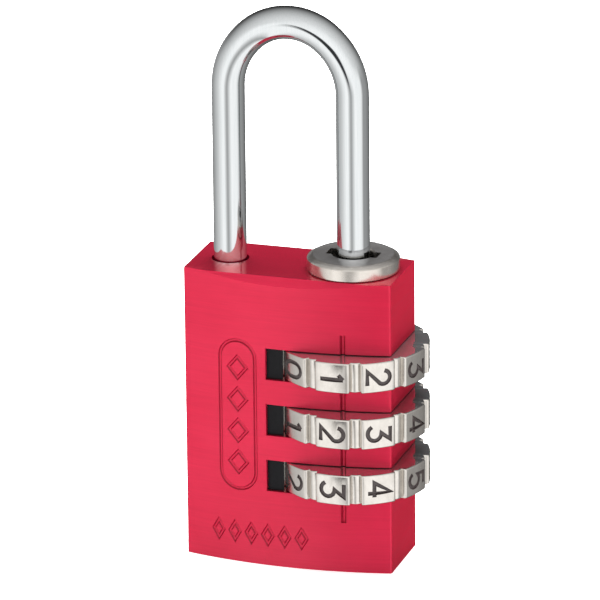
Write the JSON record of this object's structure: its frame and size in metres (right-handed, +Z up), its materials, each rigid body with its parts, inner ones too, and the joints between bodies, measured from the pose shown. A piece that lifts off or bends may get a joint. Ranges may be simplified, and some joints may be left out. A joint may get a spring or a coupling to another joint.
{
  "type": "combination padlock",
  "caption": "Small padlock with a crowned rectangular case, tall round-rod shackle and stacked number dials open to one side.",
  "frame": {"origin": "centre of the body's flat bottom face", "axes": "+Z up to the bow, +X towards the long leg and the dials' open side, -Y the front with the index groove"},
  "size_m": [0.0223, 0.0142, 0.0529],
  "materials": {
    "red_anodised": "brushed, red anodised",
    "chromed_steel": "polished chrome",
    "turned_steel": "turned, nickel plated",
    "nickel_dial": "nickel plated, dark filled numerals",
    "brass_hub": "plain turned",
    "plain_steel": "plain",
    "spring_steel": "plain wire",
    "black_plastic": "moulded, black"
  },
  "bodies": {
    "case": {"body": "red_anodised", "collar": "turned_steel", "stop_sleeve": "plain_steel", "bore_plug": "red_anodised", "carrier_plug": "red_anodised", "plug_pins": "plain_steel", "detent_carrier": "black_plastic", "hub_spring": "spring_steel", "slot_liner_1": "black_plastic", "detent_ball_1": "plain_steel", "detent_spring_1": "spring_steel", "slot_liner_2": "black_plastic", "detent_ball_2": "plain_steel", "detent_spring_2": "spring_steel", "slot_liner_3": "black_plastic", "detent_ball_3": "plain_steel", "detent_spring_3": "spring_steel"},
    "shackle": {"shackle": "chromed_steel"},
    "dial_1": {"dial_ring_1": "nickel_dial"},
    "clutch_1": {"hub_1": "brass_hub"},
    "dial_2": {"dial_ring_2": "nickel_dial"},
    "clutch_2": {"hub_2": "brass_hub"},
    "dial_3": {"dial_ring_3": "nickel_dial"},
    "clutch_3": {"hub_3": "brass_hub", "thrust_washer": "plain_steel"}
  },
  "joints": [
    {"name": "shackle_lift", "type": "slide", "parent": "case", "child": "shackle", "axis": [0, 0, 1], "range_m": [0, 0.00548]},
    {"name": "dial_1_turn", "type": "hinge", "parent": "case", "child": "dial_1", "pos_m": [0.00525, 0, 0.01992], "axis": [0, 0, 1], "continuous": true},
    {"name": "dial_2_turn", "type": "hinge", "parent": "case", "child": "dial_2", "pos_m": [0.00525, 0, 0.01444], "axis": [0, 0, 1], "continuous": true},
    {"name": "dial_3_turn", "type": "hinge", "parent": "case", "child": "dial_3", "pos_m": [0.00525, 0, 0.00896], "axis": [0, 0, 1], "continuous": true},
    {"name": "hub_1_shift", "type": "slide", "parent": "dial_1", "child": "clutch_1", "axis": [0, 0, 1], "range_m": [-0.00125, 0]},
    {"name": "hub_2_shift", "type": "slide", "parent": "dial_2", "child": "clutch_2", "axis": [0, 0, 1], "range_m": [-0.00125, 0]},
    {"name": "hub_3_shift", "type": "slide", "parent": "dial_3", "child": "clutch_3", "axis": [0, 0, 1], "range_m": [-0.00125, 0], "stiffness_N_per_m": 400, "springref_m": 0.001, "deforming": ["hub_spring"]}
  ],
  "couplings": [
    {"joint": "hub_1_shift", "follows": "hub_3_shift", "ratio": 1},
    {"joint": "hub_2_shift", "follows": "hub_3_shift", "ratio": 1}
  ]
}
